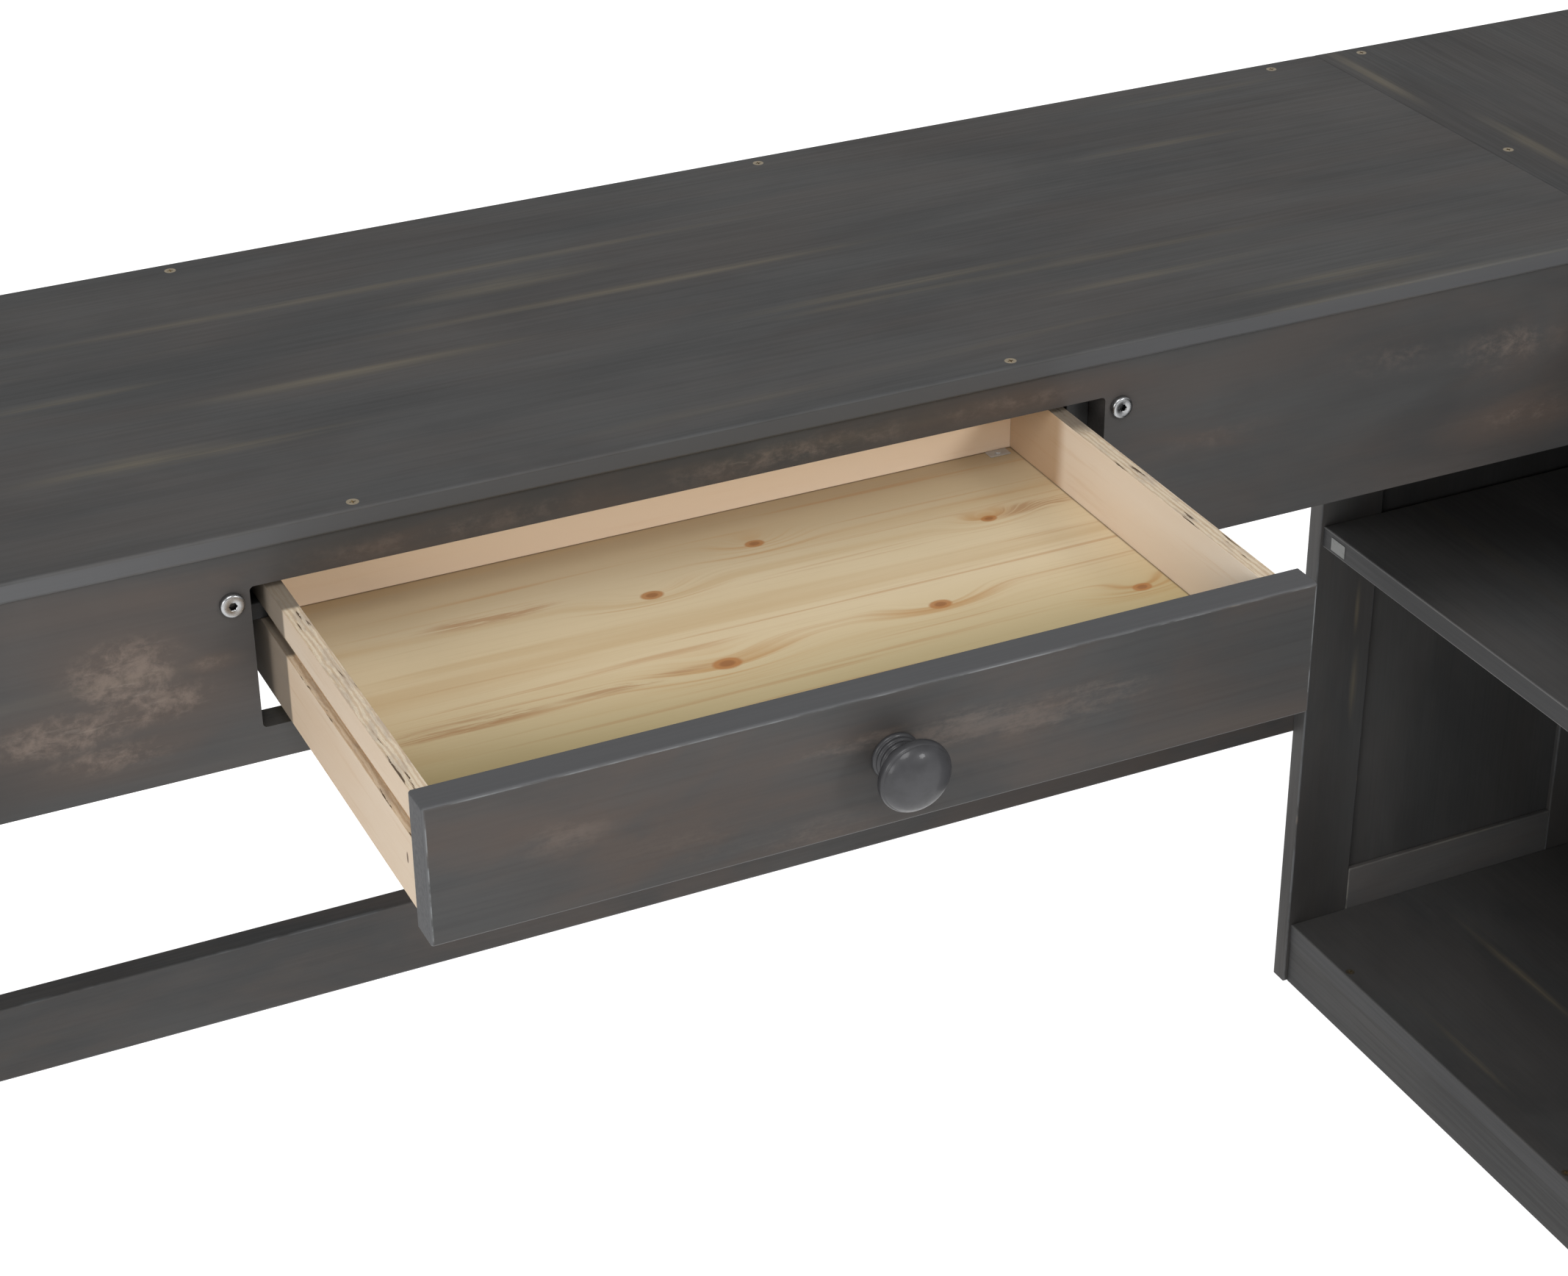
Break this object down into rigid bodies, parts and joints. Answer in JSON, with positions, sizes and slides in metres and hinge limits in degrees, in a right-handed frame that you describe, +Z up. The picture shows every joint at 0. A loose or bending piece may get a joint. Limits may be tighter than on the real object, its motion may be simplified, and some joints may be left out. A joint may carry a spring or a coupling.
{
  "type": "corner desk",
  "caption": "Corner desk with a long top and one drawer on wooden runners, joined to a return top that stands on an open bookcase.",
  "frame": {"origin": "on the floor, under the middle of the whole desk seen from above", "axes": "+X from the main top's free left end to the return top, +Y towards the back wall, +Z up"},
  "size_m": [1.57, 0.994, 0.762],
  "materials": {
    "charcoal_finish": "charcoal grey stain, satin, rubbed through at the edges",
    "rubbed_finish": "charcoal grey stain rubbed through to warm brown wood",
    "dark_inside": "dark grey stain, matte",
    "raw_plywood": "raw plywood with visible plies",
    "pine_bottom": "raw knotty pine ply",
    "zinc_steel": "bright zinc plate",
    "dark_knob": "dark glossy lacquer",
    "label_paper": "plain pale sticker, nothing printed"
  },
  "bodies": {
    "desk": {"main_top": "charcoal_finish", "return_top": "charcoal_finish", "front_apron": "rubbed_finish", "rear_rail": "charcoal_finish", "return_apron": "rubbed_finish", "wall_rail": "charcoal_finish", "seam_batten": "dark_inside", "partition_left": "dark_inside", "partition_right": "dark_inside", "runner_left": "dark_inside", "runner_right": "dark_inside", "runner_packing": "dark_inside", "drawer_stops": "dark_inside", "rear_beam": "rubbed_finish", "left_stile_front": "charcoal_finish", "left_stile_rear": "charcoal_finish", "left_rail_top": "charcoal_finish", "left_rail_bottom": "charcoal_finish", "left_panel": "dark_inside", "rear_stile_inner": "charcoal_finish", "rear_stile_outer": "charcoal_finish", "rear_frame_rail_top": "charcoal_finish", "rear_frame_rail_bottom": "charcoal_finish", "rear_panel": "dark_inside", "near_stile_inner": "charcoal_finish", "near_stile_outer": "charcoal_finish", "near_rail_top": "charcoal_finish", "near_rail_bottom": "charcoal_finish", "near_panel": "dark_inside", "mid_shelf": "charcoal_finish", "bottom_shelf": "charcoal_finish", "kick_board": "charcoal_finish", "wall_kick_board": "charcoal_finish", "case_back": "dark_inside", "shelf_cleat": "dark_inside", "apron_bolts": "zinc_steel", "barrel_nuts": "zinc_steel", "main_top_screws": "zinc_steel", "return_top_screws": "zinc_steel", "beam_screws": "zinc_steel", "shelf_screws": "zinc_steel", "kick_screws": "zinc_steel", "blank_label": "label_paper"},
    "drawer": {"drawer_front": "rubbed_finish", "drawer_side_left": "raw_plywood", "drawer_side_right": "raw_plywood", "drawer_back": "raw_plywood", "drawer_bottom": "pine_bottom", "drawer_pins": "zinc_steel", "drawer_clip": "zinc_steel", "knob": "dark_knob", "knob_screw": "zinc_steel"}
  },
  "joints": [
    {"name": "drawer_slide", "type": "slide", "parent": "desk", "child": "drawer", "axis": [0, -1, 0], "range_m": [-0.2305, 0.012]}
  ]
}
